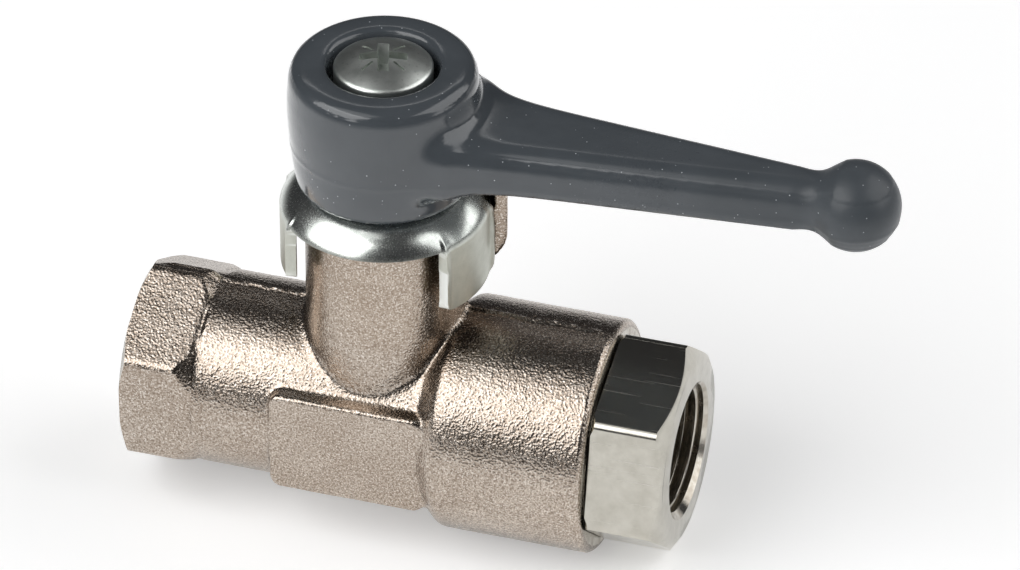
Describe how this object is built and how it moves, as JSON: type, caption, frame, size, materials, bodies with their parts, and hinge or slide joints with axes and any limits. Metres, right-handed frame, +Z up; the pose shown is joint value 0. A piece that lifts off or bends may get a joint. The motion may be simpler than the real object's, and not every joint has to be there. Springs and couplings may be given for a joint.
{
  "type": "ball valve",
  "caption": "Two-way ball valve with a long neck, female threaded ports, a hexagonal end connector, a tabbed stop plate and a quarter-turn lever ending in a small ball.",
  "frame": {"origin": "centre of the ball, where the flow axis meets the stem axis", "axes": "+X along the flow towards the screwed-in end connector, +Z up the stem, +Y to the side that carries the stop lug"},
  "size_m": [0.094, 0.0291, 0.0648],
  "materials": {
    "forged_body": "nickel plated forging, shot blasted",
    "machined_nickel": "nickel plated, machined bright",
    "chromed_ball": "polished chrome on brass",
    "stem_metal": "turned",
    "zinc_plate": "bright zinc plated",
    "grey_coating": "glossy slate grey coating on a zinc casting",
    "ptfe": "white PTFE",
    "acetal": "moulded acetal",
    "nitrile": "black nitrile rubber"
  },
  "bodies": {
    "housing": {"body": "forged_body", "end_connector": "machined_nickel", "connector_o_ring": "nitrile", "inlet_seat": "ptfe", "inlet_seat_o_ring": "nitrile", "outlet_seat": "ptfe", "outlet_seat_o_ring": "nitrile", "stem_guide_bush": "acetal", "stem_thrust_washer": "ptfe"},
    "ball": {"ball": "chromed_ball"},
    "handle": {"stem": "stem_metal", "stem_o_ring_lower": "nitrile", "stem_o_ring_upper": "nitrile", "stop_plate": "zinc_plate", "lever_handle": "grey_coating", "lock_washer": "zinc_plate", "handle_screw": "zinc_plate"}
  },
  "joints": [
    {"name": "lever_turn", "type": "hinge", "parent": "housing", "child": "handle", "pos_m": [0, 0, 0], "axis": [0, 0, 1], "range_deg": [-90, 0]},
    {"name": "ball_turn", "type": "hinge", "parent": "housing", "child": "ball", "pos_m": [0, 0, 0], "axis": [0, 0, 1], "range_deg": [-90, 0]}
  ],
  "couplings": [
    {"joint": "ball_turn", "follows": "lever_turn", "ratio": 1}
  ]
}
